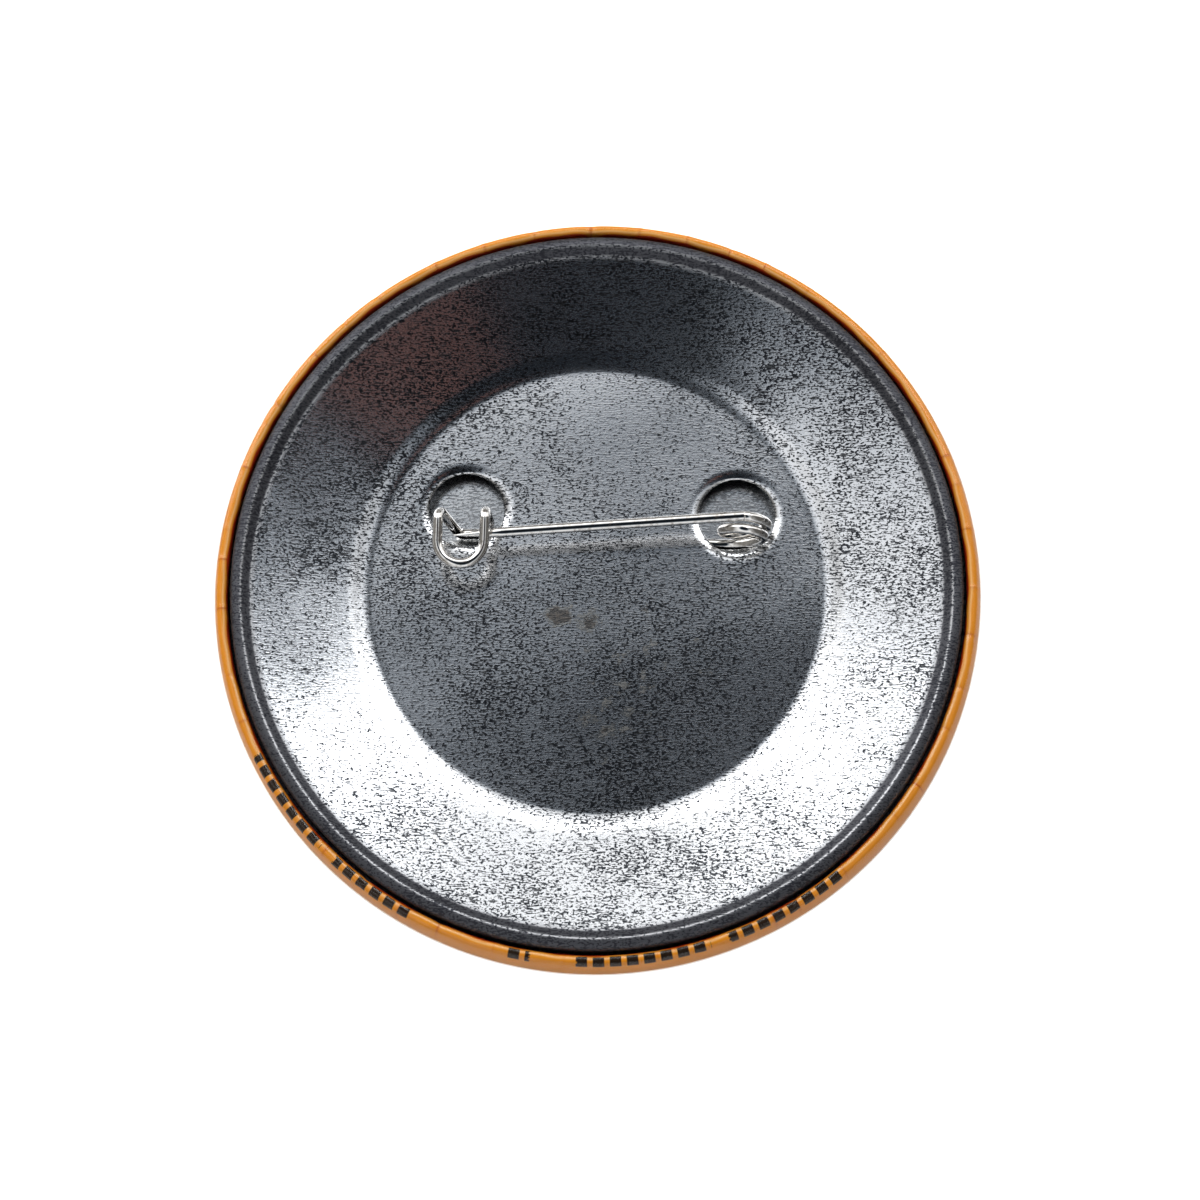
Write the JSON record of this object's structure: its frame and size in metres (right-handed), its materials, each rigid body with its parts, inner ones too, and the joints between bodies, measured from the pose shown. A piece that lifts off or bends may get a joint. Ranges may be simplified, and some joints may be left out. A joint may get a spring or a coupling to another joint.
{
  "type": "button badge",
  "caption": "Round domed button badge with a rolled orange rim, dished tinplate back and a sprung wire pin that opens from its wire catch.",
  "frame": {"origin": "lowest point of the domed front face, on the badge's axis, with the badge lying face down", "axes": "+Z from the front face to the pin side, +X from the catch to the spring coil, +Y to the top of the badge as worn"},
  "size_m": [0.075, 0.075, 0.0115],
  "materials": {
    "clear_film": "clear gloss polyester film",
    "printed_paper": "plain orange printed paper with black marks at the rim",
    "tinplate": "bright rolled tinplate with fine grain and dark speckle",
    "bare_tinplate": "plain tinplate, hidden inside",
    "nickel_wire": "nickel plated spring wire"
  },
  "bodies": {
    "badge": {"clear_film": "clear_film", "artwork_paper": "printed_paper", "front_shell": "bare_tinplate", "back_plate": "tinplate", "retainer_pan": "bare_tinplate", "spring_coil": "nickel_wire", "under_bar": "nickel_wire", "catch_loop": "nickel_wire"},
    "needle": {"needle": "nickel_wire"}
  },
  "joints": [
    {"name": "needle_hinge", "type": "hinge", "parent": "badge", "child": "needle", "pos_m": [0.0142, 0.0066, 0.0098], "axis": [-0.8818, -0.0803, 0.4647], "range_deg": [0, 170]}
  ]
}
